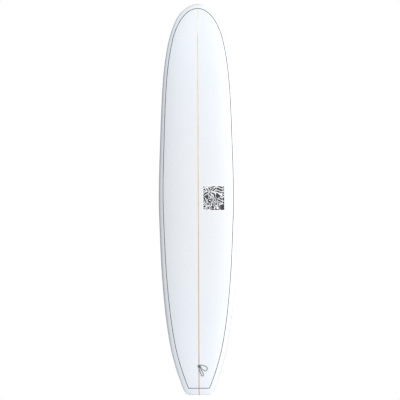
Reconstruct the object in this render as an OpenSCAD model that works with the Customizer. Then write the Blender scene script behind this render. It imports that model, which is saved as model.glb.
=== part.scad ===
// Longboard surfboard: a foam blank with a wooden stringer, glassed in two skins, with a slotted
// box for its single fin and a cup for its leash string. It stands on its tail: +Z runs up to the
// nose, the deck faces -Y and +X is to the right of somebody who looks at the deck.

/* [Board] */
// Length from tail to nose
board_length = 2896; // [2743:1:3048]
// Greatest width
board_width = 584; // [560:1:610]
// Greatest thickness, at the stringer
board_thickness = 76; // [70:1:82]
// Thickness of the tail's square end
tail_thickness = 20; // [16:1:26]
// Thickness at the nose's rounded tip
nose_thickness = 14; // [10:1:20]
// How far the tail lifts towards the deck
tail_rocker = 70; // [50:1:90]
// How far the nose lifts towards the deck
nose_rocker = 125; // [100:1:150]
// Half the width of the flat at the tail's end
tail_flat = 62; // [50:1:75]
// Radius of the tail's corners
tail_corner = 24; // [15:1:35]

/* [Construction] */
// Thickness of the wooden stringer
stringer_width = 6.4; // [3.2:0.2:9.6]
// Thickness of a glass skin
glass = 1.5; // [1:0.1:2.5]
// Width of the dark pinline on the deck
pinline_width = 3.2; // [2:0.2:6]
// Distance of the pinline from the rail near the nose
pinline_inset = 27; // [22:1:35]
// Distance of the pinline from the nose's tip
pinline_nose = 33; // [28:1:45]
// Distance of the pinline from the tail's end
pinline_tail = 50; // [40:1:70]
// Width of the decal beside the stringer
decal_width = 156; // [100:1:180]
// Height of the decal
decal_height = 178; // [120:1:220]

/* [Fin and box] */
// Length of the fin box
box_length = 267; // [255:1:280]
// Width of the fin box
box_width = 25.4; // [24:0.1:28]
// Depth of the fin box
box_depth = 25; // [24:1:26]
// Width of the slot that holds the fin
slot_width = 9.6; // [9.4:0.1:10.4]
// How far the fin stands out of the bottom
fin_height = 240; // [200:1:260]
// How far the fin's tip sweeps towards the tail
fin_sweep = 130; // [90:1:150]
// Thickness of the fin's base
fin_base = 9.2; // [8.8:0.1:9.4]

/* [Leash fitting] */
// Height of the leash cup above the tail's end
cup_height = 213; // [205:1:225]
// Outer radius of the leash cup
cup_radius = 14; // [13:0.5:15]
// Diameter of the leash string
string_diameter = 3.5; // [3:0.5:4]

/* [Hidden] */
$fn = 64;

// Outline: [distance from the end, half width of a 584 mm board] stations
TAIL_STATIONS = [[0, 95], [55, 121], [120, 145], [200, 171.5], [320, 203], [460, 228],
                 [640, 251], [900, 272.5], [1150, 284], [1448, 292]];
NOSE_STATIONS = [[0, 0], [30, 84], [80, 137], [170, 183], [300, 221], [450, 246],
                 [650, 264], [1000, 280], [1448, 292]];
wide_point = board_length / 2;      // height of the widest point
flat_point = 1250;                  // height where the rocker starts, both ways
rail_height = 0.42;                 // the rail's apex, as a share of the thickness above the bottom
deck_power = 2.6;                   // how far the deck stays flat before it falls to the rail
bottom_power = 4;                   // the same for the bottom
half_stringer = stringer_width / 2;

rings = 40;                         // loft rings along the board
rail_steps = 10;                    // loft points round one side of a ring
nose_cap = 5;                       // solid resin at the nose's tip
proud = 0.3;                        // how far a decal or pinline stands proud of the glass
inlay = 0.8;                        // how far it reaches into the glass
pinline_spread = 12;                // how much further from the rail the pinline runs at the tail
pinline_parallel = 2200;            // height above which it runs parallel to the rail

box_height = 298.5;                 // height of the box's middle above the tail's end
box_tilt = 5;                       // the bottom's slope there, from the rocker
box_sink = 0.4;                     // the flat box sinks this much into the curved bottom
bed = 1.5;                          // resin round the fin box and the leash cup
box_pocket_half = box_length / 2 + bed;
plank_reach = 500;                  // further than the plank lies from the box, either way
slot_length = 250;
slot_depth = 20;
groove_width = 14.6;                // T-groove in both walls of the slot
groove_top = 7;                     // its depth below the bottom's surface
groove_low = 11.5;
mouth_length = 14;                  // opening in mid slot that lets the pin and the plate in
tab_rear = -84.5;                   // the fin's base tab, along the slot
tab_front = 70.5;
toe_front = 84.5;                   // the thin toe in front that the screw holds
toe_top = 2.5;
tab_depth = 18.6;
fin_chord = 152;
fin_middle = -8;                    // middle of the fin's base, along the slot
fin_taper = 0.65;                   // share of its thickness that the fin loses at its tip
pin_at = -76.5;                     // place of the roll pin along the slot
pin_radius = 1.6;
pin_length = 13.6;
plate_side = 13;
plate_thickness = 3;
plate_top = 7.3;
screw_at = 77.5;                    // place of the screw along the slot
screw_radius = 2.05;
screw_length = 14;
head_radius = 3.75;
head_height = 2.3;
loose = 0.25;                       // clearance of a bolt in its hole
running = 0.05;                     // clearance of a shaft in its bore

cup_depth = 17;
cup_bore = 11;
cup_floor = 3;
cup_underlay = 1;                   // resin under the leash cup
bar_radius = 1.5;
bar_depth = 5;
bar_length = 26;

// The leash string: [right of the stringer, height above the deck, height above the tail's end].
// From under the bar it makes a wide loop, wraps the bar, makes a narrow loop and ends under the bar.
STRING_ROUTE = [[-2.2, -9, 214], [-2.2, -8, 218], [-1, -3, 221], [4, 1.6, 222.5], [11, 2.2, 222],
                [24, 1.8, 220], [38, 1.8, 218], [50, 1.8, 213], [59, 1.8, 205], [63, 1.8, 196],
                [59, 1.8, 186], [51, 1.8, 179], [42, 1.8, 179], [31, 1.8, 186], [22, 1.8, 194],
                [16, 2, 202], [12, 1.6, 208], [9, -0.4, 212.5], [7.6, -2.6, 216.6], [6.8, -6.2, 218],
                [6.3, -9.2, 215.4], [6.3, -9.2, 211], [6, -5, 207.6], [6.4, 0.4, 205.6], [8, 2, 201],
                [13, 1.8, 191], [20, 1.8, 179], [28, 1.8, 166], [34, 1.8, 154], [34, 1.8, 145],
                [27, 1.8, 140], [19, 1.8, 146], [13, 1.8, 159], [8, 1.8, 173], [3, 1.8, 187],
                [0.5, 2, 197], [1.5, 0, 203], [2, -5, 207.4], [2, -9, 211]];

// ---- Curves of the board ----

function slope_at(p, i) =
    i == 0 ? (p[1][1] - p[0][1]) / (p[1][0] - p[0][0])
    : i == len(p) - 1 ? 0
    : (p[i + 1][1] - p[i - 1][1]) / (p[i + 1][0] - p[i - 1][0]);
function span_of(p, x, i = 0) = i >= len(p) - 2 || x <= p[i + 1][0] ? i : span_of(p, x, i + 1);
// Smooth curve through the stations, level at the last one
function curve_at(p, x) =
    let (i = span_of(p, x))
    let (step = p[i + 1][0] - p[i][0])
    let (t = (x - p[i][0]) / step)
    p[i][1] * (2 * t ^ 3 - 3 * t ^ 2 + 1) + p[i + 1][1] * (3 * t ^ 2 - 2 * t ^ 3)
    + step * slope_at(p, i) * (t ^ 3 - 2 * t ^ 2 + t)
    + step * slope_at(p, i + 1) * (t ^ 3 - t ^ 2);

// The nose is round, so its stations are read along the square root of the distance
NOSE_CURVE = [for (p = NOSE_STATIONS) [sqrt(p[0]), p[1]]];
width_scale = board_width / 584;
end_scale = 1448 / wide_point;
function tail_half(z) = width_scale * curve_at(TAIL_STATIONS, z * end_scale);
function nose_half(s) = width_scale * curve_at(NOSE_CURVE, sqrt(s * end_scale));
// A quarter round from 0 to 1 over the length r
function rounding(x, r) = x >= r ? 1 : sqrt(1 - (1 - x / r) ^ 2);
function half_width(z) =
    z > wide_point ? nose_half(board_length - z)
    : tail_flat + (tail_half(z) - tail_flat) * rounding(z, tail_corner);

function rocker(z) =
    z < flat_point ? tail_rocker * (1 - z / flat_point) ^ 2.2
    : nose_rocker * ((z - flat_point) / (board_length - flat_point)) ^ 2.6;
function thickness(z) =
    let (u = abs(z - wide_point) / wide_point)
    z < wide_point ? tail_thickness + (board_thickness - tail_thickness) * (1 - u ^ 3) ^ 0.75
    : (nose_thickness + (board_thickness - nose_thickness) * (1 - u ^ 3) ^ 0.6)
      * rounding(board_length - z, 6);
function bottom_y(z) = tail_rocker + tail_thickness / 2 - rocker(z);
function rail_y(z) = bottom_y(z) - rail_height * thickness(z);
function deck_y(x, z) =
    let (across = max(0, abs(x) - half_stringer) / (half_width(z) - half_stringer))
    rail_y(z) - (1 - rail_height) * thickness(z) * sqrt(1 - across ^ deck_power);

// ---- Lofts ----

// One side of the section at height z, from the deck's middle round the rail to the bottom's
// middle, lying a depth of d under the surface
function side_points(z, d, side) = [
    for (k = [0 : 2 * rail_steps])
        let (a = 90 - 90 * k / rail_steps)
        let (on_deck = k <= rail_steps)
        let (power = on_deck ? deck_power : bottom_power)
        let (reach = half_width(z) - d - half_stringer)
        let (rise = (on_deck ? 1 - rail_height : -rail_height) * thickness(z)
                    - (on_deck ? d : -d))
        let (out = k == 0 || k == 2 * rail_steps ? 0 : cos(a) ^ (2 / power))
        [side * (half_stringer + reach * out), rail_y(z) - rise * abs(sin(a)), z]
];
function ring_points(z, d) =
    let (right = side_points(z, d, 1))
    concat(side_points(z, d, -1), [for (k = [2 * rail_steps : -1 : 0]) right[k]]);

ring_heights = [for (i = [0 : rings]) board_length * (1 - cos(180 * i / rings)) / 2];
core_top = board_length - nose_cap;
core_heights = concat([glass], [for (z = ring_heights) if (z > glass + 2 && z < core_top - 1) z],
                      [core_top]);

// Solid through equal rings of points, with flat ends
module loft(layers) {
    n = len(layers[0]);
    count = len(layers);
    walls = [for (i = [0 : count - 2]) for (j = [0 : n - 1])
        let (a = i * n + j)
        let (b = i * n + (j + 1) % n)
        each [[a, b, b + n], [a, b + n, a + n]]];
    ends = [[for (j = [n - 1 : -1 : 0]) j], [for (j = [0 : n - 1]) (count - 1) * n + j]];
    polyhedron([for (layer = layers) each layer], concat(walls, ends));
}

// The board's whole outer shape: full rings, then a fan to the tip
module outer_shape() {
    heights = [for (z = ring_heights) if (z < board_length - 0.1) z];
    layers = [for (z = heights) ring_points(z, 0)];
    n = len(layers[0]);
    count = len(layers);
    tip = n * count;
    walls = [for (i = [0 : count - 2]) for (j = [0 : n - 1])
        let (a = i * n + j)
        let (b = i * n + (j + 1) % n)
        each [[a, b, b + n], [a, b + n, a + n]]];
    fan = [for (j = [0 : n - 1]) [(count - 1) * n + j, (count - 1) * n + (j + 1) % n, tip]];
    base = [[for (j = [n - 1 : -1 : 0]) j]];
    points = concat([for (layer = layers) each layer], [[0, rail_y(board_length), board_length]]);
    polyhedron(points, concat(walls, fan, base));
}

// What the glass encloses: foam and stringer together
module core_shape() loft([for (z = core_heights) ring_points(z, glass)]);

// The foam and the wood are drawn in lengths that meet at these rings of the core. The deck is
// hollow along its length, and short lengths keep their hulls close to it.
length_cuts = [0, 11, 18, 24, 30, len(core_heights) - 1];
function cut_height(i) = core_heights[length_cuts[i]];

// One length of half the foam blank, counted from the tail; side is -1 or 1
module foam_length(side, i) {
    layers = [for (k = [length_cuts[i] : length_cuts[i + 1]])
        side_points(core_heights[k], glass, side)];
    flipped = [for (layer = layers) [for (k = [2 * rail_steps : -1 : 0]) layer[k]]];
    loft(side < 0 ? layers : flipped);
}

// ---- Places ----

// Stands its children on the bottom's surface at the fin box: +Y points out, +Z to the nose
module at_box() {
    translate([0, bottom_y(box_height) - box_sink, box_height])
        rotate([-box_tilt, 0, 0])
            children();
}

// Stands its children on the deck at the leash cup: +Z points into the board
module at_cup() {
    translate([0, deck_y(0, cup_height), cup_height])
        rotate([-90, 0, 0])
            children();
}

// Block in the fin box's frame, with its middle at x = 0
module box_block(wide, low, high, rear, front) {
    translate([-wide / 2, low, rear])
        cube([wide, high - low, front - rear]);
}

module box_pocket(over) {
    box_block(box_width + 2 * bed, -box_depth - bed, over, -box_pocket_half, box_pocket_half);
}

cup_pocket_radius = cup_radius + bed;
module cup_pocket(over) {
    translate([0, 0, -over])
        cylinder(r = cup_pocket_radius, h = cup_depth + cup_underlay + over);
}

// Both pockets that are cut into the finished board
module fitting_pockets() {
    at_box() box_pocket(6);
    at_cup() cup_pocket(6);
}

// ---- The pinline's course on the deck, as [x, z] ----

function edge_slope(z) = (half_width(z + 0.5) - half_width(z - 0.5));
function pinline_gap(z) = pinline_inset + pinline_spread * max(0, 1 - z / pinline_parallel);
// The outline's point at height z, moved straight in from the rail
function pinline_point(z) =
    let (m = edge_slope(z))
    let (n = sqrt(1 + m * m))
    [half_width(z) - pinline_gap(z) / n, z + m * pinline_gap(z) / n];
pinline_steps = 36;
// The right side from the tail's corner up, then the peak at the nose, then the left side
pinline_side = [for (i = [1 : pinline_steps - 1])
    let (p = pinline_point(board_length * (1 - cos(180 * i / pinline_steps)) / 2))
    if (p[1] > pinline_tail + 4 && p[0] > 6) p];
pinline_corner = pinline_side[0] - (pinline_side[1] - pinline_side[0])
    * (pinline_side[0][1] - pinline_tail) / (pinline_side[1][1] - pinline_side[0][1]);
pinline_right = concat([pinline_corner], pinline_side);
tail_steps = 14;
// Round the deck: up the right side, over the peak, down the left side and across the tail
pinline_path = concat(pinline_right, [[0, board_length - pinline_nose]],
    [for (i = [len(pinline_right) - 1 : -1 : 0]) [-pinline_right[i][0], pinline_right[i][1]]],
    [for (i = [1 : tail_steps - 1])
        [pinline_corner[0] * (2 * i / tail_steps - 1), pinline_corner[1]]]);

// Everything on the deck side of the rail and inside the pinline
module deck_zone() {
    reach = 400;
    intersection() {
        translate([0, reach, 0])
            rotate([90, 0, 0])
                linear_extrude(height = 2 * reach)
                    polygon(pinline_path);
        translate([-reach, 0, 0])
            rotate([90, 0, 90])
                linear_extrude(height = 2 * reach)
                    polygon(concat([for (z = ring_heights) [rail_y(z), z]],
                                   [[-reach, board_length], [-reach, 0]]));
    }
}

module glass_shell() {
    difference() {
        outer_shape();
        core_shape();
    }
}

// ---- Sub-parts ----

module blank_left_tail() {
    color("ivory")
        difference() {
            foam_length(-1, 0);
            fitting_pockets();
        }
}

module blank_left_hip() {
    color("beige")
        foam_length(-1, 1);
}

module blank_left_waist() {
    color("ivory")
        foam_length(-1, 2);
}

module blank_left_shoulder() {
    color("beige")
        foam_length(-1, 3);
}

module blank_left_nose() {
    color("ivory")
        foam_length(-1, 4);
}

module blank_right_tail() {
    color("ivory")
        difference() {
            foam_length(1, 0);
            fitting_pockets();
        }
}

module blank_right_hip() {
    color("beige")
        foam_length(1, 1);
}

module blank_right_waist() {
    color("ivory")
        foam_length(1, 2);
}

module blank_right_shoulder() {
    color("beige")
        foam_length(1, 3);
}

module blank_right_nose() {
    color("ivory")
        foam_length(1, 4);
}

// The wooden plank from tail to nose, notched for the fin box and the leash cup
module stringer_plank() {
    deck_edge = [for (z = core_heights) [deck_y(0, z) + glass, z]];
    bottom_edge = [for (i = [len(core_heights) - 1 : -1 : 0])
        [bottom_y(core_heights[i]) - glass, core_heights[i]]];
    difference() {
        translate([-half_stringer, 0, 0])
            rotate([90, 0, 90])
                linear_extrude(height = stringer_width)
                    polygon(concat(deck_edge, bottom_edge));
        fitting_pockets();
    }
}

// The plank is one piece of wood. Near the tail it is cut where a notch starts or ends, so that
// each length is a simple solid that leaves the notches open. The cuts beside the leash cup stay
// just inside its round pocket, or slivers of wood would be left along the wall.
cup_cut = sqrt(pow(cup_pocket_radius, 2) - pow(half_stringer, 2)) - 0.2;
module plank_slab(low, high) {
    translate([-stringer_width, -plank_reach, low])
        cube([2 * stringer_width, 2 * plank_reach, high - low]);
}

module plank_along_box(rear, front) {
    intersection() {
        stringer_plank();
        at_box()
            box_block(2 * stringer_width, -plank_reach, plank_reach, rear, front);
    }
}

// The wood between the deck and the box pocket's floor
module plank_over_box(low, high) {
    intersection() {
        stringer_plank();
        at_box()
            box_block(2 * stringer_width, -plank_reach, -box_depth - bed,
                -box_pocket_half, box_pocket_half);
        plank_slab(low, high);
    }
}

module stringer_tail() {
    color("peru")
        plank_along_box(-board_length, -box_pocket_half);
}

module stringer_heel() {
    color("sandybrown")
        plank_over_box(0, cup_height - cup_cut);
}

module stringer_web() {
    color("peru")
        plank_over_box(cup_height - cup_cut, cup_height + cup_cut);
}

module stringer_bridge() {
    color("sandybrown")
        plank_over_box(cup_height + cup_cut, board_length);
}

module stringer_hip() {
    color("peru")
        intersection() {
            plank_along_box(box_pocket_half, board_length);
            plank_slab(0, cut_height(2));
        }
}

module stringer_waist() {
    color("sandybrown")
        intersection() {
            stringer_plank();
            plank_slab(cut_height(2), cut_height(3));
        }
}

module stringer_shoulder() {
    color("peru")
        intersection() {
            stringer_plank();
            plank_slab(cut_height(3), cut_height(4));
        }
}

module stringer_nose() {
    color("sandybrown")
        intersection() {
            stringer_plank();
            plank_slab(cut_height(4), board_length);
        }
}

module deck_glass() {
    color("whitesmoke")
        difference() {
            intersection() {
                glass_shell();
                deck_zone();
            }
            fitting_pockets();
        }
}

module bottom_glass() {
    color("white")
        difference() {
            glass_shell();
            deck_zone();
            fitting_pockets();
        }
}

// A thin strip that follows the deck along a closed path
module deck_pinline() {
    n = len(pinline_path);
    layers = [for (i = [0 : n - 1])
        let (before = pinline_path[(i + n - 1) % n])
        let (after = pinline_path[(i + 1) % n])
        let (along = (after - before) / norm(after - before))
        let (side = [-along[1], along[0]] * pinline_width / 2)
        let (p = pinline_path[i] + side)
        let (q = pinline_path[i] - side)
        [[p[0], deck_y(p[0], p[1]) - proud, p[1]], [q[0], deck_y(q[0], q[1]) - proud, q[1]],
         [q[0], deck_y(q[0], q[1]) + inlay, q[1]], [p[0], deck_y(p[0], p[1]) + inlay, p[1]]]];
    faces = [for (i = [0 : n - 1]) for (j = [0 : 3])
        let (a = i * 4 + j)
        let (b = i * 4 + (j + 1) % 4)
        let (c = ((i + 1) % n) * 4 + (j + 1) % 4)
        let (d = ((i + 1) % n) * 4 + j)
        each [[a, c, b], [a, d, c]]];
    color("#2b1f24")
        polyhedron([for (layer = layers) each layer], faces);
}

module deck_decal() {
    steps = 8;
    middle = [115, board_length / 2 + 10];
    layers = [for (i = [0 : steps])
        let (x = middle[0] + decal_width * (i / steps - 0.5))
        concat([for (k = [0 : steps])
                   let (z = middle[1] + decal_height * (k / steps - 0.5))
                   [x, deck_y(x, z) - proud, z]],
               [for (k = [steps : -1 : 0])
                   let (z = middle[1] + decal_height * (k / steps - 0.5))
                   [x, deck_y(x, z) + inlay, z]])];
    color("dimgray")
        loft(layers);
}

module fin_box() {
    color("gainsboro")
        at_box()
            difference() {
                box_block(box_width, -box_depth, 0, -box_length / 2, box_length / 2);
                box_block(slot_width, -slot_depth, 1, -slot_length / 2, slot_length / 2);
                box_block(groove_width, -groove_low, -groove_top, -slot_length / 2, slot_length / 2);
                box_block(groove_width, -groove_top - 1, 1, -mouth_length / 2, mouth_length / 2);
            }
}

module fin_box_resin() {
    color("honeydew")
        at_box()
            difference() {
                box_pocket(0);
                box_block(box_width, -box_depth, 1, -box_length / 2, box_length / 2);
            }
}

// The fin's section at share v of its height: [across, out, along] from the leading edge round
function fin_ring(v, out) =
    let (steps = 12)
    let (chord = fin_chord * (1 - max(0, v) ^ 2.6) ^ 0.62)
    let (front = fin_middle - fin_sweep * max(0, v) ^ 1.6 + chord / 2)
    let (thick = fin_base * (1 - fin_taper * max(0, v)) * min(1, 0.35 + chord / 60))
    [for (k = [0 : 2 * steps - 1])
        let (side = k <= steps ? -1 : 1)
        let (t = (1 - cos(180 * (k <= steps ? k : 2 * steps - k) / steps)) / 2)
        [side * thick / 2 * t ^ 0.45 * (1 - t) ^ 0.9 / 0.4235, out, front - chord * t]];

module fin_blade() {
    steps = 18;
    shares = [for (i = [0 : steps]) 0.995 * sin(90 * i / steps)];
    layers = concat([fin_ring(0, -1)], [for (v = shares) fin_ring(v, 0.2 + v * fin_height)]);
    loft(layers);
}

module fin() {
    color("darkslategray")
        at_box()
            difference() {
                union() {
                    fin_blade();
                    box_block(fin_base, -tab_depth, -0.5, tab_rear, tab_front);
                    box_block(fin_base, -plate_top, -toe_top, tab_front - 1, toe_front);
                }
                translate([0, -toe_top + 1, screw_at])
                    rotate([90, 0, 0])
                        cylinder(r = screw_radius + loose, h = plate_top);
                translate([-fin_base, -(groove_top + groove_low) / 2, pin_at])
                    rotate([0, 90, 0])
                        cylinder(r = pin_radius + 0.01, h = 2 * fin_base);
            }
}

module fin_roll_pin() {
    color("goldenrod")
        at_box()
            translate([-pin_length / 2, -(groove_top + groove_low) / 2, pin_at])
                rotate([0, 90, 0])
                    cylinder(r = pin_radius, h = pin_length);
}

module fin_plate() {
    color("silver")
        at_box()
            difference() {
                box_block(plate_side, -plate_top - plate_thickness, -plate_top,
                          screw_at - plate_side / 2, screw_at + plate_side / 2);
                translate([0, -plate_top + 1, screw_at])
                    rotate([90, 0, 0])
                        cylinder(r = screw_radius + running, h = plate_thickness + 2);
            }
}

module fin_screw() {
    color("lightgray")
        at_box()
            translate([0, -toe_top, screw_at])
                rotate([90, 0, 0])
                    difference() {
                        union() {
                            cylinder(r = screw_radius, h = screw_length);
                            translate([0, 0, -head_height])
                                cylinder(r = head_radius, h = head_height);
                        }
                        translate([-head_radius, -0.5, -head_height - 1])
                            cube([2 * head_radius, 1, 2]);
                    }
}

module leash_cup() {
    color("snow")
        at_cup()
            difference() {
                cylinder(r = cup_radius, h = cup_depth);
                translate([0, 0, -1])
                    cylinder(r = cup_bore, h = cup_depth - cup_floor + 1);
                translate([-bar_length / 2, 0, bar_depth])
                    rotate([0, 90, 0])
                        cylinder(r = bar_radius + 0.01, h = bar_length);
            }
}

module leash_cup_resin() {
    color("honeydew")
        at_cup()
            difference() {
                cup_pocket(0);
                translate([0, 0, -1])
                    cylinder(r = cup_radius, h = cup_depth + 1);
            }
}

module leash_bar() {
    color("lightgray")
        at_cup()
            translate([-bar_length / 2, 0, bar_depth])
                rotate([0, 90, 0])
                    cylinder(r = bar_radius, h = bar_length);
}

// A round tube swept along the string's route, over the deck
function unit(v) = v / norm(v);
function heading(route, i) =
    unit(route[min(i + 1, len(route) - 1)] - route[max(i - 1, 0)]);
// The side direction, carried from point to point so that the sweep never twists
function sides_along(route, i, side) =
    let (along = heading(route, i))
    let (here = unit(side - (side * along) * along))
    i == len(route) - 1 ? [here] : concat([here], sides_along(route, i + 1, here));

module leash_string() {
    sides = 8;
    route = [for (p = STRING_ROUTE) [p[0], deck_y(p[0], p[2]) - p[1], p[2]]];
    across = sides_along(route, 0, [1, 0, 0]);
    layers = [for (i = [0 : len(route) - 1])
        let (w = cross(across[i], heading(route, i)))
        [for (k = [0 : sides - 1])
            let (a = 360 * k / sides)
            route[i] + string_diameter / 2 * (across[i] * cos(a) + w * sin(a))]];
    color("#3c4048")
        loft(layers);
}

blank_left_tail();
blank_left_hip();
blank_left_waist();
blank_left_shoulder();
blank_left_nose();
blank_right_tail();
blank_right_hip();
blank_right_waist();
blank_right_shoulder();
blank_right_nose();
stringer_tail();
stringer_heel();
stringer_web();
stringer_bridge();
stringer_hip();
stringer_waist();
stringer_shoulder();
stringer_nose();
deck_glass();
bottom_glass();
deck_pinline();
deck_decal();
fin_box();
fin_box_resin();
fin();
fin_roll_pin();
fin_plate();
fin_screw();
leash_cup();
leash_cup_resin();
leash_bar();
leash_string();
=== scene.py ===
import math
import bmesh
import bpy
import numpy as np
from mathutils import Matrix, Vector


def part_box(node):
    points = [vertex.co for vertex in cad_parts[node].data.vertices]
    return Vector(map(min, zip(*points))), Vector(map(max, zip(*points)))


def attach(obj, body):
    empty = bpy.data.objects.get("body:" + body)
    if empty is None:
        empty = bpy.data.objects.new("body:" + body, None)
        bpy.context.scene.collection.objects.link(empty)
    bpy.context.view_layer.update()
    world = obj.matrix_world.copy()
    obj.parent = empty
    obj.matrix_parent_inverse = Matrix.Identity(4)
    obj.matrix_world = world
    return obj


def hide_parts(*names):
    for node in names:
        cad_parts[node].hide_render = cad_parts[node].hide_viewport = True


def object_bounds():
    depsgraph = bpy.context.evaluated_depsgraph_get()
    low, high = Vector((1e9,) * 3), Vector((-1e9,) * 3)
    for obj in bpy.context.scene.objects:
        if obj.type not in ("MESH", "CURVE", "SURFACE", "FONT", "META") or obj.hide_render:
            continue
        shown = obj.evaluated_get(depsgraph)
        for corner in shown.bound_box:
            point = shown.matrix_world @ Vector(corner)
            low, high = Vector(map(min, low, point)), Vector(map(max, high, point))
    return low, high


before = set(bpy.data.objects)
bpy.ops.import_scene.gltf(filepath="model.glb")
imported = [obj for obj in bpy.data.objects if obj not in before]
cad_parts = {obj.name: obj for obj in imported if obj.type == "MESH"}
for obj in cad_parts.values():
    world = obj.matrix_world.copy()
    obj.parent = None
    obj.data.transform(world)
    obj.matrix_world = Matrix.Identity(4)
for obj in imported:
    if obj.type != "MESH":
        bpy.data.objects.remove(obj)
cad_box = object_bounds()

MM = 0.001
rng = np.random.default_rng(7)

# ---- The board's surfaces, in millimetres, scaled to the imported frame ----

LENGTH = (cad_box[1].z - cad_box[0].z) / MM
WIDEST = LENGTH / 2
PLANK_NODES = [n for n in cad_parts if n.startswith("stringer_")]
plank_low, plank_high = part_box(PLANK_NODES[0])
HALF_STRINGER = (plank_high[0] - plank_low[0]) / 2 / MM
TAIL_FLAT, TAIL_CORNER = 62.0, 24.0
TAIL_THICK, THICK, NOSE_THICK = 20.0, 76.0, 14.0
TAIL_ROCKER, NOSE_ROCKER, FLAT_POINT = 70.0, 125.0, 1250.0
TAIL_BEND, NOSE_BEND = 2.2, 2.6
TAIL_TAPER, NOSE_TAPER = 0.75, 0.6
RAIL = 0.42
DECK_POWER, BOTTOM_POWER = 2.6, 4.0
NOSE_CAP = 6.0
TAIL_ROUND = 5.0
SKIN = 1.2

# Half widths: [distance from the tail, half width] and [distance from the nose, half width]
TAIL_STATIONS = np.array([[0, 95], [55, 121], [120, 145], [200, 171.5], [320, 203], [460, 228],
                          [640, 251], [900, 272.5], [1150, 284], [1448, 292]], float)
NOSE_STATIONS = np.array([[0, 0], [30, 84], [80, 137], [170, 183], [300, 221], [450, 246],
                          [650, 264], [1000, 280], [1448, 292]], float)
NOSE_CURVE = np.column_stack([np.sqrt(NOSE_STATIONS[:, 0]), NOSE_STATIONS[:, 1]])


def slopes(p):
    """Slope at each station: level at the last one."""
    s = np.zeros(len(p))
    s[0] = (p[1, 1] - p[0, 1]) / (p[1, 0] - p[0, 0])
    s[1:-1] = (p[2:, 1] - p[:-2, 1]) / (p[2:, 0] - p[:-2, 0])
    return s


def curve_at(p, x):
    """Smooth curve through stations."""
    x = np.asarray(x, float)
    i = np.clip(np.searchsorted(p[:, 0], x, side="left") - 1, 0, len(p) - 2)
    s = slopes(p)
    step = p[i + 1, 0] - p[i, 0]
    t = (x - p[i, 0]) / step
    return (p[i, 1] * (2 * t ** 3 - 3 * t ** 2 + 1) + p[i + 1, 1] * (3 * t ** 2 - 2 * t ** 3)
            + step * s[i] * (t ** 3 - 2 * t ** 2 + t) + step * s[i + 1] * (t ** 3 - t ** 2))


def rounding(x, r):
    """Height of a quarter circle of radius r at x, as a share of r."""
    return np.sqrt(np.clip(1 - np.clip(1 - np.asarray(x, float) / r, 0, 1) ** 2, 0, 1))


def half_width(z):
    z = np.asarray(z, float)
    nose = curve_at(NOSE_CURVE, np.sqrt(np.clip(LENGTH - z, 0, WIDEST)))
    tail = curve_at(TAIL_STATIONS, np.clip(z, 0, WIDEST))
    tail = TAIL_FLAT + (tail - TAIL_FLAT) * rounding(z, TAIL_CORNER)
    return np.where(z > WIDEST, nose, tail)


def rocker(z):
    z = np.asarray(z, float)
    low = TAIL_ROCKER * np.clip(1 - z / FLAT_POINT, 0, 1) ** TAIL_BEND
    high = NOSE_ROCKER * np.clip((z - FLAT_POINT) / (LENGTH - FLAT_POINT), 0, 1) ** NOSE_BEND
    return np.where(z < FLAT_POINT, low, high)


def thickness(z):
    z = np.asarray(z, float)
    u = np.clip(np.abs(z - WIDEST) / WIDEST, 0, 1)
    low = TAIL_THICK + (THICK - TAIL_THICK) * (1 - u ** 3) ** TAIL_TAPER
    high = NOSE_THICK + (THICK - NOSE_THICK) * (1 - u ** 3) ** NOSE_TAPER
    return np.where(z < WIDEST, low, high * rounding(LENGTH - z, NOSE_CAP))


def bottom_middle(z):
    return TAIL_ROCKER + TAIL_THICK / 2 - rocker(z)


def rail_y(z):
    return bottom_middle(z) - RAIL * thickness(z)


def eased(z):
    """How far the tail's rounded end pulls the surface in."""
    near = np.clip(TAIL_ROUND - np.asarray(z, float), 0, TAIL_ROUND)
    return TAIL_ROUND - np.sqrt(TAIL_ROUND ** 2 - near ** 2)


def reach(z):
    """Half width of the flat over the stringer, and of the curved surface beside it."""
    wide = half_width(z) - eased(z)
    core = np.minimum(HALF_STRINGER, 0.5 * wide)
    return core, np.maximum(wide - core, 1e-9)


def across(x, z):
    """How far x lies from the stringer's edge to the rail: 0 to 1."""
    core, side = reach(z)
    return np.clip((np.abs(x) - core) / side, 0, 1)


def deck_y(x, z):
    rise = (1 - RAIL) * thickness(z) - eased(z)
    return rail_y(z) - rise * np.sqrt(1 - across(x, z) ** DECK_POWER)


def bottom_y(x, z):
    rise = RAIL * thickness(z) - eased(z)
    return rail_y(z) + rise * np.sqrt(1 - across(x, z) ** BOTTOM_POWER)


def board_rows(count, first=0.0, last=math.pi):
    """Heights along the board, closest together at both ends."""
    return LENGTH * (1 - np.cos(np.linspace(first, last, count))) / 2


def tail_rows(count):
    """Heights round the tail's eased end."""
    return TAIL_ROUND * (1 - np.cos(np.linspace(0, math.pi / 2, count)))


# ---- Mesh helpers ----

def new_object(name, verts, faces, weld=1e-7, outward=False):
    """A mesh object from points in millimetres."""
    mesh = bpy.data.meshes.new(name)
    mesh.from_pydata([tuple(v) for v in np.asarray(verts, float) * MM], [], faces)
    bm = bmesh.new()
    bm.from_mesh(mesh)
    if weld:
        bmesh.ops.remove_doubles(bm, verts=bm.verts, dist=weld)
        bmesh.ops.dissolve_degenerate(bm, edges=bm.edges, dist=weld)
    bmesh.ops.recalc_face_normals(bm, faces=bm.faces)
    if outward:
        middle = sum((v.co for v in bm.verts), Vector()) / len(bm.verts)
        total = sum(f.calc_area() * f.normal.dot(f.calc_center_median() - middle) for f in bm.faces)
        if total < 0:
            bmesh.ops.reverse_faces(bm, faces=bm.faces)
    for f in bm.faces:
        f.smooth = True
    bm.to_mesh(mesh)
    bm.free()
    obj = bpy.data.objects.new(name, mesh)
    bpy.context.scene.collection.objects.link(obj)
    return obj


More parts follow.
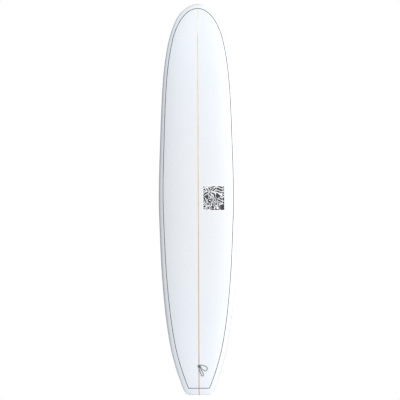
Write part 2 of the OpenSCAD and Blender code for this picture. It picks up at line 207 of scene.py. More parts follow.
class Sheets:
    """Grids of points gathered into one mesh."""

    def __init__(self):
        self.verts = []
        self.faces = []

    def grid(self, points, skip=None, close=False):
        points = np.asarray(points, float)
        rows, cols = points.shape[:2]
        base = len(self.verts)
        self.verts.extend(points.reshape(-1, 3).tolist())
        for i in range(rows - 1):
            for j in range(cols if close else cols - 1):
                if skip is not None and skip(i, j):
                    continue
                k = (j + 1) % cols
                self.faces.append((base + i * cols + j, base + i * cols + k,
                                   base + (i + 1) * cols + k, base + (i + 1) * cols + j))

    def cap(self, points):
        base = len(self.verts)
        self.verts.extend(np.asarray(points, float).tolist())
        self.faces.append(tuple(range(base, base + len(points))))


def apply_modifiers(obj):
    depsgraph = bpy.context.evaluated_depsgraph_get()
    mesh = bpy.data.meshes.new_from_object(obj.evaluated_get(depsgraph))
    old = obj.data
    obj.modifiers.clear()
    obj.data = mesh
    bpy.data.meshes.remove(old)


def thicken(obj, depth):
    mod = obj.modifiers.new("skin", "SOLIDIFY")
    mod.thickness = depth * MM
    mod.offset = -1
    mod.use_even_offset = False
    apply_modifiers(obj)
    obj.data.set_sharp_from_angle(angle=math.radians(50))


# ---- Materials ----

def material(name):
    mat = bpy.data.materials.new(name)
    mat.use_nodes = True
    tree = mat.node_tree
    return mat, tree, tree.nodes["Principled BSDF"]


def ramp(tree, source, stops):
    n = tree.nodes.new("ShaderNodeValToRGB")
    tree.links.new(source, n.inputs["Fac"])
    band = n.color_ramp
    while len(band.elements) < len(stops):
        band.elements.new(0.5)
    for element, (position, colour) in zip(band.elements, stops):
        element.position = position
        element.color = (*colour, 1)
    return n.outputs["Color"]


def grey(value):
    return (value,) * 3


def place(tree, scale=(1, 1, 1), turn=(0, 0, 0)):
    """Object coordinates, which are the row frame in metres, scaled."""
    coords = tree.nodes.new("ShaderNodeTexCoord")
    mapping = tree.nodes.new("ShaderNodeMapping")
    mapping.inputs["Scale"].default_value = scale
    mapping.inputs["Rotation"].default_value = turn
    tree.links.new(coords.outputs["Object"], mapping.inputs["Vector"])
    return mapping.outputs["Vector"]


def noise(tree, where, scale, detail=2.0, rough=0.5):
    n = tree.nodes.new("ShaderNodeTexNoise")
    n.inputs["Scale"].default_value = scale
    n.inputs["Detail"].default_value = detail
    n.inputs["Roughness"].default_value = rough
    tree.links.new(where, n.inputs["Vector"])
    return n.outputs["Fac"]


def wave(tree, where, scale, axis, distort=0.0):
    n = tree.nodes.new("ShaderNodeTexWave")
    n.bands_direction = axis
    n.inputs["Scale"].default_value = scale
    n.inputs["Distortion"].default_value = distort
    tree.links.new(where, n.inputs["Vector"])
    return n.outputs["Fac"]


def axes(tree, source):
    """A vector's three parts."""
    n = tree.nodes.new("ShaderNodeSeparateXYZ")
    tree.links.new(source, n.inputs[0])
    return n.outputs


def maths(tree, kind, a, b=0):
    n = tree.nodes.new("ShaderNodeMath")
    n.operation = kind
    for socket, value in zip(n.inputs, (a, b)):
        if isinstance(value, (int, float)):
            socket.default_value = value
        else:
            tree.links.new(value, socket)
    return n.outputs[0]


def mix(tree, fac, a, b, kind="MIX"):
    n = tree.nodes.new("ShaderNodeMix")
    n.data_type = "RGBA"
    n.blend_type = kind
    for name, value in (("Factor", fac), ("A", a), ("B", b)):
        socket = [s for s in n.inputs if s.name == name and s.enabled][0]
        if isinstance(value, (int, float)):
            socket.default_value = value
        else:
            tree.links.new(value, socket)
    return [s for s in n.outputs if s.enabled][0]


def bump(tree, shader, height, strength, distance):
    n = tree.nodes.new("ShaderNodeBump")
    n.inputs["Strength"].default_value = strength
    n.inputs["Distance"].default_value = distance
    tree.links.new(height, n.inputs["Height"])
    tree.links.new(n.outputs["Normal"], shader.inputs["Normal"])


# Painted light: the resin's colour is a little bluer and paler towards both ends and a little darker in
# the middle, standing in for brighter light at the ends: [share of the length, tint]
ENDS_PAINTED_LIGHT = [(0.0, (1.04, 1.06, 1.08)), (0.2, (1.0, 1.012, 1.02)), (0.5, (0.985, 0.985, 0.985)),
        (0.78, (1.01, 1.02, 1.03)), (0.9, (1.045, 1.07, 1.085)), (1.0, (1.08, 1.1, 1.09))]

# Painted shade: the resin is darkened on both rails, as if they lay in shade: [how far the surface faces
# sideways, tint]
RAIL_PAINTED_SHADE = [(0.36, (1, 1, 1)), (0.52, (0.83, 0.835, 0.84)),
             (0.73, (0.68, 0.685, 0.695)), (1.0, (0.6, 0.605, 0.615))]

# The wood is darker and redder at the tail and pale at the nose: [share of the length, tint]
WOOD_TINT = [(0.0, (1.0, 0.78, 0.56)), (0.22, (1.08, 0.94, 0.78)), (0.36, (1.22, 1.16, 1.0)),
             (0.55, (1.26, 1.34, 1.35)), (1.0, (1.4, 2.1, 3.8))]
CLOTH_WAVES = 170.0
GLOSS_COAT, GLOSS_ROUGH = 0.6, 0.06


def along_board(tree):
    """Share of the board's length, from the tail."""
    coords = tree.nodes.new("ShaderNodeTexCoord")
    return maths(tree, "DIVIDE", axes(tree, coords.outputs["Object"])["Z"], LENGTH * MM)


def gloss(shader, coat=GLOSS_COAT):
    shader.inputs["Coat Weight"].default_value = coat
    shader.inputs["Coat Roughness"].default_value = GLOSS_ROUGH


def laminate(name, pale, deep):
    """White resin over glass cloth: a faint weave, soft blotches and a polished gloss coat."""
    mat, tree, shader = material(name)
    flat = place(tree)
    blotch = noise(tree, flat, 2.2, 1.5)
    fine = noise(tree, flat, 45.0, 3.0)
    warp = wave(tree, flat, CLOTH_WAVES, "X", 0.4)
    weft = wave(tree, flat, CLOTH_WAVES, "Z", 0.4)
    weave = maths(tree, "MULTIPLY", warp, weft)
    tone = maths(tree, "ADD", maths(tree, "MULTIPLY", blotch, 0.98), maths(tree, "MULTIPLY", fine, 0.02))
    base = ramp(tree, tone, [(0.3, deep), (0.7, pale)])
    # Painted light: the base colour is paler and bluer towards both ends
    ends = ramp(tree, along_board(tree), ENDS_PAINTED_LIGHT)
    base = mix(tree, 1.0, base, ends, "MULTIPLY")
    # Painted shade: the base colour darkens where the surface faces sideways, on both rails
    normal = tree.nodes.new("ShaderNodeNewGeometry").outputs["Normal"]
    sideways = maths(tree, "ABSOLUTE", axes(tree, normal)["X"])
    base = mix(tree, 1.0, base, ramp(tree, sideways, RAIL_PAINTED_SHADE), "MULTIPLY")
    cloth = ramp(tree, weave, [(0.0, (0.99, 0.992, 0.994)), (1.0, (1, 1, 1))])
    tree.links.new(mix(tree, 1.0, base, cloth, "MULTIPLY"), shader.inputs["Base Color"])
    rough = ramp(tree, fine, [(0.3, grey(0.25)), (0.7, grey(0.28))])
    tree.links.new(rough, shader.inputs["Roughness"])
    gloss(shader)
    bump(tree, shader, weave, 0.012, 0.0003)
    return mat


def timber():
    """Softwood grain along the board, paler to the nose, under clear resin."""
    mat, tree, shader = material("stringer_wood")
    grain = noise(tree, place(tree, (260, 60, 5)), 1.0, 6.0, 0.6)
    pores = noise(tree, place(tree, (1400, 300, 30)), 1.0, 2.0)
    stain = noise(tree, place(tree, (1, 1, 3)), 2.2, 3.0)
    rings = ramp(tree, grain, [(0.28, (0.52, 0.27, 0.08)), (0.5, (0.71, 0.44, 0.165)),
                               (0.72, (0.84, 0.58, 0.26))])
    wood = mix(tree, 1.0, rings, ramp(tree, along_board(tree), WOOD_TINT), "MULTIPLY")
    blot = ramp(tree, stain, [(0.35, (0.80, 0.76, 0.72)), (0.62, (1, 1, 1))])
    wood = mix(tree, 0.7, wood, blot, "MULTIPLY")
    fleck = ramp(tree, pores, [(0.34, (0.72, 0.66, 0.6)), (0.46, (1, 1, 1))])
    tree.links.new(mix(tree, 0.6, wood, fleck, "MULTIPLY"), shader.inputs["Base Color"])
    shader.inputs["Roughness"].default_value = 0.35
    gloss(shader)
    bump(tree, shader, grain, 0.1, 0.0002)
    return mat


def tinted(name, dark, light, scale, rough, coat, lift=0.15):
    """Mottled colour and roughness with a fine bump."""
    mat, tree, shader = material(name)
    where = place(tree)
    fine = noise(tree, where, scale, 4.0)
    broad = noise(tree, where, scale / 9, 2.0)
    tone = maths(tree, "ADD", maths(tree, "MULTIPLY", fine, 0.6), maths(tree, "MULTIPLY", broad, 0.4))
    tree.links.new(ramp(tree, tone, [(0.35, dark), (0.65, light)]), shader.inputs["Base Color"])
    tree.links.new(ramp(tree, fine, [(0.3, grey(rough[0])), (0.7, grey(rough[1]))]),
                   shader.inputs["Roughness"])
    shader.inputs["Coat Weight"].default_value = coat
    bump(tree, shader, fine, lift, 0.0003)
    return mat


def brushed(name, dark, light, stretch):
    """Metal with drawn lines and worn patches."""
    mat, tree, shader = material(name)
    lines = noise(tree, place(tree, stretch), 1.0, 5.0, 0.6)
    patch = noise(tree, place(tree), 240.0, 2.0)
    tone = maths(tree, "ADD", maths(tree, "MULTIPLY", lines, 0.7), maths(tree, "MULTIPLY", patch, 0.3))
    tree.links.new(ramp(tree, tone, [(0.3, dark), (0.7, light)]), shader.inputs["Base Color"])
    tree.links.new(ramp(tree, lines, [(0.2, grey(0.22)), (0.8, grey(0.45))]), shader.inputs["Roughness"])
    shader.inputs["Metallic"].default_value = 1.0
    bump(tree, shader, lines, 0.15, 0.0001)
    return mat


def bed_resin(name):
    """The clear resin that a fitting is set in."""
    return tinted(name, (0.70, 0.73, 0.71), (0.79, 0.81, 0.80), 120.0, (0.15, 0.3), 0.8)


def fin_cloth():
    """Black glass-fibre panel: woven sheen, layers that show as contours, gloss."""
    mat, tree, shader = material("fin_fibreglass")
    yarns = [wave(tree, place(tree, turn=(math.radians(angle), 0, 0)), 300.0, "Y", 0.6)
             for angle in (45, -45)]
    weave = maths(tree, "MULTIPLY", *yarns)
    layers = wave(tree, place(tree, (1, 0, 0)), 700.0, "X")
    cloud = noise(tree, place(tree), 18.0, 4.0)
    tone = maths(tree, "ADD", maths(tree, "MULTIPLY", weave, 0.55), maths(tree, "MULTIPLY", cloud, 0.45))
    base = ramp(tree, tone, [(0.2, (0.008, 0.010, 0.012)), (0.8, (0.032, 0.037, 0.043))])
    lines = ramp(tree, layers, [(0.0, grey(0.75)), (0.5, grey(1))])
    tree.links.new(mix(tree, 0.7, base, lines, "MULTIPLY"), shader.inputs["Base Color"])
    tree.links.new(ramp(tree, cloud, [(0.3, grey(0.16)), (0.7, grey(0.30))]), shader.inputs["Roughness"])
    shader.inputs["Coat Weight"].default_value = 0.7
    bump(tree, shader, weave, 0.08, 0.0002)
    return mat


STRANDS = 4
YARN_TURNS = 3000.0


def braid():
    """Braided polyester: crossed yarns in dark slate with a bluish fleck."""
    mat, tree, shader = material("string_cord")
    uv = tree.nodes.new("ShaderNodeUVMap")
    uv.uv_map = "along"
    split = axes(tree, uv.outputs["UV"])
    around = maths(tree, "MULTIPLY", split["X"], 2 * math.pi * STRANDS)
    along = maths(tree, "MULTIPLY", split["Y"], YARN_TURNS)
    crossed = [maths(tree, "SINE", maths(tree, way, around, along)) for way in ("ADD", "SUBTRACT")]
    yarn = maths(tree, "ADD", maths(tree, "MULTIPLY", maths(tree, "MULTIPLY", *crossed), 0.5), 0.5)
    fuzz = noise(tree, place(tree), 900.0, 3.0)
    tone = maths(tree, "ADD", maths(tree, "MULTIPLY", yarn, 0.7), maths(tree, "MULTIPLY", fuzz, 0.3))
    base = ramp(tree, tone, [(0.2, (0.018, 0.022, 0.032)), (0.55, (0.06, 0.075, 0.105)),
                             (0.85, (0.13, 0.165, 0.23))])
    tree.links.new(base, shader.inputs["Base Color"])
    shader.inputs["Roughness"].default_value = 0.75
    shader.inputs["Sheen Weight"].default_value = 0.3
    bump(tree, shader, tone, 0.3, 0.0003)
    return mat


PATCHES_PER_METRE = 27.0
HATCH_LINES, HATCH_INK = 360.0, -0.62
HOOP_LINES, HOOP_INK = 15.0, -0.6
HOOP_CHANCE, SOLID_CHANCE = 0.58, 0.74
PATCH_GAP = 0.03
PRINT_MARGIN = 0.5


def bent_flat(tree, where):
    """The coordinates with a soft waviness, and no depth."""
    bend = tree.nodes.new("ShaderNodeTexNoise")
    bend.inputs["Scale"].default_value = 22.0
    tree.links.new(where, bend.inputs["Vector"])
    shifted = tree.nodes.new("ShaderNodeVectorMath")
    shifted.operation = "MULTIPLY_ADD"
    shifted.inputs[1].default_value = (0.022, 0.0, 0.022)
    tree.links.new(bend.outputs["Color"], shifted.inputs[0])
    tree.links.new(where, shifted.inputs[2])
    flat = tree.nodes.new("ShaderNodeVectorMath")
    flat.operation = "MULTIPLY"
    flat.inputs[1].default_value = (1.0, 0.0, 1.0)
    tree.links.new(shifted.outputs[0], flat.inputs[0])
    return flat.outputs[0]


def striped(tree, run, lines, level):
    """1 where the sine of a run of lines is over the level, else 0."""
    return maths(tree, "GREATER_THAN", maths(tree, "SINE", maths(tree, "MULTIPLY", run, lines)), level)


def print_on_paper():
    """An abstract patchwork of hatching, hoops and solid patches, black on paper as white as the deck."""
    mat, tree, shader = material("decal_paper")
    where = place(tree)
    flat = bent_flat(tree, where)
    patches = {}
    for feature in ("F1", "DISTANCE_TO_EDGE"):
        patches[feature] = tree.nodes.new("ShaderNodeTexVoronoi")
        patches[feature].feature = feature
        patches[feature].inputs["Scale"].default_value = PATCHES_PER_METRE
        tree.links.new(flat, patches[feature].inputs["Vector"])
    chance = tree.nodes.new("ShaderNodeSeparateColor")
    tree.links.new(patches["F1"].outputs["Color"], chance.inputs[0])
    split = axes(tree, flat)
    turn = maths(tree, "MULTIPLY", chance.outputs[0], 2 * math.pi)
    lean = maths(tree, "ADD", maths(tree, "MULTIPLY", split["X"], maths(tree, "COSINE", turn)),
                 maths(tree, "MULTIPLY", split["Z"], maths(tree, "SINE", turn)))
    hatch = striped(tree, lean, HATCH_LINES, HATCH_INK)
    hoops = striped(tree, patches["F1"].outputs["Distance"], HOOP_LINES, HOOP_INK)
    hooped = maths(tree, "GREATER_THAN", chance.outputs[1], HOOP_CHANCE)
    ink = maths(tree, "ADD", maths(tree, "MULTIPLY", hoops, hooped),
                maths(tree, "MULTIPLY", hatch, maths(tree, "SUBTRACT", 1.0, hooped)))
    solid = maths(tree, "GREATER_THAN", chance.outputs[2], SOLID_CHANCE)
    inside = maths(tree, "GREATER_THAN", patches["DISTANCE_TO_EDGE"].outputs["Distance"], PATCH_GAP)
    ink = maths(tree, "MULTIPLY", maths(tree, "MAXIMUM", ink, solid), inside)
    low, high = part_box("deck_decal")
    spot = axes(tree, where)
    for axis, name in ((0, "X"), (2, "Z")):
        middle, half = (low[axis] + high[axis]) / 2, (high[axis] - low[axis]) / 2
        off = maths(tree, "ABSOLUTE", maths(tree, "SUBTRACT", spot[name], middle))
        ink = maths(tree, "MULTIPLY", ink, maths(tree, "LESS_THAN", off, half - PRINT_MARGIN * MM))
    worn = noise(tree, where, 260.0, 3.0)
    black = ramp(tree, worn, [(0.3, (0.010, 0.010, 0.012)), (0.75, (0.035, 0.035, 0.04))])
    white = ramp(tree, worn, [(0.3, (0.925, 0.935, 0.95)), (0.7, (0.945, 0.95, 0.96))])
    tree.links.new(mix(tree, ink, white, black), shader.inputs["Base Color"])
    shader.inputs["Roughness"].default_value = 0.28
    gloss(shader, 0.5)
    bump(tree, shader, worn, 0.05, 0.0002)
    return mat


def dress(obj, mat):
    obj.data.materials.clear()
    obj.data.materials.append(mat)


def finished(obj, body, slot, mat, *nodes):
    """Material and body of a new piece, and the frame's nodes that it stands for; slot is not used."""
    dress(obj, mat)
    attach(obj, body)
    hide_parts(*nodes)


# ---- Camera, at the photograph's angle: square on to the deck, with a slight roll ----

VIEW_WIDTH = 2.963
VIEW_CENTRE = (0.0126, 1.4443)
VIEW_AWAY = 8.0
VIEW_ROLL = math.radians(0.234)
camera = bpy.data.objects.new("camera", bpy.data.cameras.new("camera"))
bpy.context.scene.collection.objects.link(camera)
camera.data.type = "ORTHO"
camera.data.ortho_scale = VIEW_WIDTH
camera.location = (VIEW_CENTRE[0], -VIEW_AWAY, VIEW_CENTRE[1])
camera.rotation_euler = (Matrix.Rotation(math.radians(90), 4, "X")
                         @ Matrix.Rotation(-VIEW_ROLL, 4, "Z")).to_euler()
camera.data.clip_end = 60
bpy.context.scene.camera = camera
bpy.context.scene.view_settings.view_transform = "Standard"

# ---- The leash string, on the route of its solid: [right of the stringer, off the deck, height] ----

STRING_ROUTE = [[-2.2, -9, 214], [-2.2, -8, 218], [-1, -3, 221], [4, 1.6, 222.5], [11, 2.2, 222],
                [24, 1.8, 220], [38, 1.8, 218], [50, 1.8, 213], [59, 1.8, 205], [63, 1.8, 196],
                [59, 1.8, 186], [51, 1.8, 179], [42, 1.8, 179], [31, 1.8, 186], [22, 1.8, 194],
                [16, 2, 202], [12, 1.6, 208], [9, -0.4, 212.5], [7.6, -2.6, 216.6], [6.8, -6.2, 218],
                [6.3, -9.2, 215.4], [6.3, -9.2, 211], [6, -5, 207.6], [6.4, 0.4, 205.6], [8, 2, 201],
                [13, 1.8, 191], [20, 1.8, 179], [28, 1.8, 166], [34, 1.8, 154], [34, 1.8, 145],
                [27, 1.8, 140], [19, 1.8, 146], [13, 1.8, 159], [8, 1.8, 173], [3, 1.8, 187],
                [0.5, 2, 197], [1.5, 0, 203], [2, -5, 207.4], [2, -9, 211]]
STRING_RADIUS = 1.75
STRING_SIDES = 20
STRING_STEP = 0.6
SPAN_SAMPLES = 24
PLAIT, PLAIT_TURN = 0.045, 1.5


def smooth_path(points, step):
    """Catmull-Rom through the points, then evenly spaced."""
    p = np.asarray(points, float)
    p = np.vstack([2 * p[0] - p[1], p, 2 * p[-1] - p[-2]])
    out = []
    for i in range(1, len(p) - 2):
        for t in np.linspace(0, 1, SPAN_SAMPLES, endpoint=False):
            out.append(0.5 * (2 * p[i] + (p[i + 1] - p[i - 1]) * t
                              + (2 * p[i - 1] - 5 * p[i] + 4 * p[i + 1] - p[i + 2]) * t ** 2
                              + (3 * p[i] - p[i - 1] - 3 * p[i + 1] + p[i + 2]) * t ** 3))
    out.append(p[-2])
    out = np.array(out)
    run = np.concatenate([[0], np.cumsum(np.linalg.norm(np.diff(out, axis=0), axis=1))])
    even = np.linspace(0, run[-1], int(run[-1] / step) + 1)
    return np.column_stack([np.interp(even, run, out[:, k]) for k in range(3)]), run[-1]


def leash_string():
    route = [[x, float(deck_y(x, z)) - lift, z] for x, lift, z in STRING_ROUTE]
    path, length = smooth_path(route, STRING_STEP)
    heading = np.gradient(path, axis=0)
    heading /= np.linalg.norm(heading, axis=1)[:, None]
    side = np.array([1.0, 0, 0])
    verts = []
    angles = np.arange(STRING_SIDES + 1) * 2 * math.pi / STRING_SIDES
    for i, (p, h) in enumerate(zip(path, heading)):
        side = side - side.dot(h) * h
        side /= np.linalg.norm(side)
        up = np.cross(h, side)
        turn = i * STRING_STEP * PLAIT_TURN
        strand = np.sin(STRANDS * angles + turn) * np.sin(STRANDS * angles - turn)
        radius = STRING_RADIUS * (0.975 + PLAIT * strand)
        for a, r in zip(angles[:-1], radius):
            verts.append(p + r * (side * math.cos(a) + up * math.sin(a)))
    rings = len(path)
    n = STRING_SIDES
    faces = [(i * n + j, i * n + (j + 1) % n, (i + 1) * n + (j + 1) % n, (i + 1) * n + j)
             for i in range(rings - 1) for j in range(n)]
    faces.append(tuple(range(n - 1, -1, -1)))
    faces.append(tuple((rings - 1) * n + j for j in range(n)))
    obj = new_object("leash_string_braid", verts, faces, weld=0)
    layer = obj.data.uv_layers.new(name="along")
    for poly in obj.data.polygons:
        ks = [obj.data.loops[k].vertex_index for k in poly.loop_indices]
        wrap = max(k % n for k in ks) - min(k % n for k in ks) > n / 2
        for k, v in zip(poly.loop_indices, ks):
            around = v % n + (n if wrap and v % n < n / 2 else 0)
            layer.data[k].uv = (around / n, (v // n) * STRING_STEP * MM)
    finished(obj, "board", "string_cord", braid(), "leash_string")


leash_string()

# ---- The pinline's course ----

PIN_TAIL = 50.0
PIN_WIDTH = 4.5
PIN_NOSE = 33.0
PIN_GAP, PIN_GAP_MORE, PIN_GAP_END = 27, 12, 2200
NOSE_RUN, PEAK_SPREAD, PEAK_EASE = 230.0, 14.3, 0.0088
PIN_WOBBLE = 0.03


def pinline_side():
    """Right side of the pinline from the tail's corner to the peak at the nose."""
    z = board_rows(320, 0.08, math.pi - 0.004)
    slope = (half_width(z + 0.05) - half_width(z - 0.05)) / 0.1
    gap = PIN_GAP + PIN_GAP_MORE * np.clip(1 - z / PIN_GAP_END, 0, 1)
    n = np.sqrt(1 + slope ** 2)
    p = np.column_stack([half_width(z) - gap / n, z + slope * gap / n])
    p = p[(p[:, 1] > PIN_TAIL + 10) & (p[:, 1] < LENGTH - PIN_NOSE - NOSE_RUN - 4) & (z < LENGTH - 150)]
    lean = (p[3] - p[0]) / (p[3, 1] - p[0, 1])
    corner = p[0] - lean * (p[0, 1] - PIN_TAIL)
    below = NOSE_RUN * np.linspace(1, 0, 60) ** 2
    nose = np.column_stack([np.sqrt(below) * (PEAK_SPREAD - PEAK_EASE * below), LENGTH - PIN_NOSE - below])
    return np.vstack([corner, p, nose])


PIN_SIDE = pinline_side()


def pin_x(z):
    return np.interp(z, PIN_SIDE[:, 1], PIN_SIDE[:, 0], right=0)


# ---- The two skins ----

CUP_Z, CUP_HOLE = 213.0, 15.4
PATCH, PATCH_CELLS = 30.0, 16
FLAT_SHARE = 0.6
BOX_Z, BOX_TILT, BOX_SINK = 298.5, math.radians(5), 0.4
BOX_HALF_LENGTH, BOX_HALF_WIDTH, BOX_BED = 133.5, 12.7, 1.5
HOLE_X = BOX_HALF_WIDTH + BOX_BED
HOLE_Z = (BOX_HALF_LENGTH + BOX_BED) * math.cos(BOX_TILT)


def deck_skin():
    """The deck inside the pinline, with a square of rings round the leash cup's hole."""
    sheets = Sheets()
    lines = np.linspace(-PATCH, PATCH, PATCH_CELLS + 1)
    patch_rows = CUP_Z + lines
    rows = np.concatenate([PIN_SIDE[:, 1], np.linspace(PIN_TAIL, PIN_SIDE[1, 1], 4)])
    rows = rows[(rows < patch_rows[0] - 1) | (rows > patch_rows[-1] + 1)]
    rows = np.unique(np.round(np.concatenate([rows, patch_rows]), 4))
    inner, outer = PATCH_CELLS, 24
    grid = np.zeros((len(rows), inner + 2 * outer + 1, 3))
    for i, z in enumerate(rows):
        edge = float(pin_x(z))
        mid = min(PATCH, 0.3 * edge)
        right = np.linspace(mid, edge, outer + 1)[1:]
        x = np.concatenate([-right[::-1], np.linspace(-mid, mid, inner + 1), right])
        grid[i] = np.column_stack([x, deck_y(x, z), np.full_like(x, z)])
    first = int(np.argmin(np.abs(rows - patch_rows[0])))
    last = int(np.argmin(np.abs(rows - patch_rows[-1])))
    sheets.grid(grid, skip=lambda i, j: first <= i < last and outer <= j < outer + inner)
    square = ([(x, -PATCH) for x in lines[:-1]] + [(PATCH, z) for z in lines[:-1]]
              + [(x, PATCH) for x in lines[:0:-1]] + [(-PATCH, z) for z in lines[:0:-1]])
    square = np.array(square)
    circle = square / np.linalg.norm(square, axis=1)[:, None] * CUP_HOLE
    rings = []
    for t in np.linspace(0, 1, 8):
        flat = square * (1 - t) + circle * t
        x, z = flat[:, 0], flat[:, 1] + CUP_Z
        rings.append(np.column_stack([x, deck_y(x, z), z]))
    sheets.grid(np.array(rings), close=True)
    obj = new_object("deck_laminate", sheets.verts, sheets.faces)
    if sum(p.normal.y for p in obj.data.polygons) > 0:
        obj.data.flip_normals()
    thicken(obj, SKIN)
    finished(obj, "board", "deck_skin", skin_material, "deck_glass")


def bottom_skin():
    """The bottom, the rails and the lap up to the pinline, with the fin box's hole left open."""
    nose = PIN_SIDE[PIN_SIDE[:, 1] > LENGTH - 110, 1]
    hole = [BOX_Z - HOLE_Z, BOX_Z + HOLE_Z]
    corner = np.linspace(TAIL_ROUND, TAIL_CORNER, 8)
    rows = np.concatenate([board_rows(221), tail_rows(10), corner, nose, hole, [PIN_TAIL]])
    rows = np.unique(np.round(rows, 3))
    rows = rows[np.concatenate([[True], np.diff(rows) > 0.02])]
    tail_share = float(pin_x(PIN_TAIL)) / float(half_width(PIN_TAIL))
    deck_cols, rail_cols, flat_cols, inner_cols = 18, 22, 14, 4
    halves = {1: [], -1: []}
    patch = []
    for z in rows:
        core, side = (float(v) for v in reach(z))
        wide = core + side
        start = wide * tail_share if z < PIN_TAIL else float(pin_x(z))
        share = float(across(start, z))
        turn = np.linspace(math.acos(min(1, share ** (DECK_POWER / 2))), 0, deck_cols + 1)
        x = core + side * np.cos(turn) ** (2 / DECK_POWER)
        if start <= core:
            x[0] = start
        y = rail_y(z) - ((1 - RAIL) * thickness(z) - eased(z)) * np.sin(turn)
        if z < PIN_TAIL + 0.001:
            u = np.linspace(-start, start, 41)
            patch.append(np.column_stack([u, deck_y(u, z), np.full_like(u, z)]))
        flat_edge = core + side * FLAT_SHARE
        turn = np.linspace(0, math.acos(FLAT_SHARE ** 2), rail_cols + 1)[1:]
        x_rail = core + side * np.sqrt(np.cos(turn))
        mid = min(HOLE_X, 0.15 * wide)
        x_flat = np.linspace(flat_edge, mid, flat_cols + 1)[1:]
        x_mid = np.linspace(mid, 0, inner_cols + 1)[1:]
        x_low = np.concatenate([x_rail, x_flat, x_mid])
        xs = np.concatenate([x, x_low])
        ys = np.concatenate([y, bottom_y(x_low, z)])
        for sign in (1, -1):
            halves[sign].append(np.column_stack([sign * xs, ys, np.full_like(xs, z)]))
    first = int(np.argmin(np.abs(rows - hole[0])))
    last = int(np.argmin(np.abs(rows - hole[1])))
    inner_from = deck_cols + rail_cols + flat_cols
    sheets = Sheets()
    for sign in (1, -1):
        sheets.grid(np.array(halves[sign]), skip=lambda i, j: first <= i < last and j >= inner_from)
    sheets.grid(np.array(patch))
    end = np.vstack([patch[0][20:], halves[1][0][1:], halves[-1][0][::-1][1:], patch[0][1:20]])
    middle = np.tile(end.mean(axis=0), (len(end), 1))
    sheets.grid(np.array([end, middle]), close=True)
    obj = new_object("bottom_laminate", sheets.verts, sheets.faces, weld=2e-6, outward=True)
    thicken(obj, SKIN)
    finished(obj, "board", "bottom_skin", skin_material, "bottom_glass")


skin_material = laminate("laminate", (0.865, 0.882, 0.905), (0.85, 0.868, 0.895))
deck_skin()
bottom_skin()

# ---- Stringer, pinline and decal ----

# The plank's edges and the decal show over the skins by PROUD and PAPER_PROUD
PROUD = 0.1
PAPER, PAPER_PROUD, PAPER_THICK = 6.0, 0.12, 0.5
CUP_NOTCH_HALF, CUP_NOTCH_DEPTH = 15, 18.5
BOX_NOTCH_DEPTH = 27
NOSE_END = 3


def stringer():
    """The whole plank, cut away under the leash cup and over the fin box."""
    body = board_rows(181)
    body = body[(body > TAIL_ROUND) & (body < LENGTH - NOSE_END)]
    steps = [CUP_Z - CUP_NOTCH_HALF, CUP_Z + CUP_NOTCH_HALF, BOX_Z - HOLE_Z, BOX_Z + HOLE_Z]
    walls = [[s - 0.01, s + 0.01] for s in steps]
    rows = np.unique(np.concatenate([body, tail_rows(8), [LENGTH - NOSE_END], *walls]))
    loops = []
    for z in rows:
        top = float(deck_y(0, z)) - PROUD
        low = float(bottom_y(0, z)) + PROUD
        if abs(z - CUP_Z) < CUP_NOTCH_HALF:
            top += CUP_NOTCH_DEPTH
        if abs(z - BOX_Z) < HOLE_Z:
            low -= BOX_NOTCH_DEPTH
        h = min(HALF_STRINGER, 0.8 * float(half_width(z)))
        height = z - (PROUD if z == 0 else 0)
        loops.append([[-h, top, height], [h, top, height], [h, low, height], [-h, low, height]])
    sheets = Sheets()
    sheets.grid(np.array(loops), close=True)
    sheets.cap(loops[0])
    sheets.cap(loops[-1])
    obj = new_object("stringer_plank", sheets.verts, sheets.faces, outward=True)
    obj.data.set_sharp_from_angle(angle=math.radians(40))
    finished(obj, "board", "stringer_waist_wood", timber(), *PLANK_NODES)


def pinline():
    """A low bead along the whole course, mitred at the tail's corners."""
    right = PIN_SIDE[:-1]
    left = right[::-1] * [-1, 1]
    base = np.linspace(left[-1], right[0], 40)[1:-1]
    path = np.vstack([right, [PIN_SIDE[-1]], left, base])
    ahead = np.roll(path, -1, axis=0) - path
    behind = path - np.roll(path, 1, axis=0)
    ahead /= np.linalg.norm(ahead, axis=1)[:, None]
    behind /= np.linalg.norm(behind, axis=1)[:, None]
    along = ahead + behind
    along /= np.linalg.norm(along, axis=1)[:, None]
    mitre = np.clip(1 / np.clip((along * ahead).sum(axis=1), 0.5, 1), 1, 1.6)
    side = np.column_stack([-along[:, 1], along[:, 0]]) * mitre[:, None]
    run = np.linspace(0, 2 * math.pi, len(path), endpoint=False)
    wobble = 1 + sum(PIN_WOBBLE * np.sin(k * run + rng.uniform(0, 6)) for k in (23, 41, 67))
    shape = [(-0.5, 0.03), (-0.3, 0.2), (0, 0.26), (0.3, 0.2), (0.5, 0.03), (0.5, -0.7), (-0.5, -0.7)]
    columns = []
    for offset, lift in shape:
        p = path + side * (offset * PIN_WIDTH * wobble)[:, None]
        columns.append(np.column_stack([p[:, 0], deck_y(p[:, 0], p[:, 1]) - lift, p[:, 1]]))
    points = np.stack(columns, axis=1)
    points = np.vstack([points, points[:1]])
    sheets = Sheets()
    sheets.grid(points, close=True)
    obj = new_object("pinline_bead", sheets.verts, sheets.faces, outward=True)
    mat = tinted("pinline_resin", (0.014, 0.006, 0.007), (0.045, 0.021, 0.023), 90.0, (0.35, 0.5), 0.2)
    finished(obj, "board", "pinline_resin", mat, "deck_pinline")


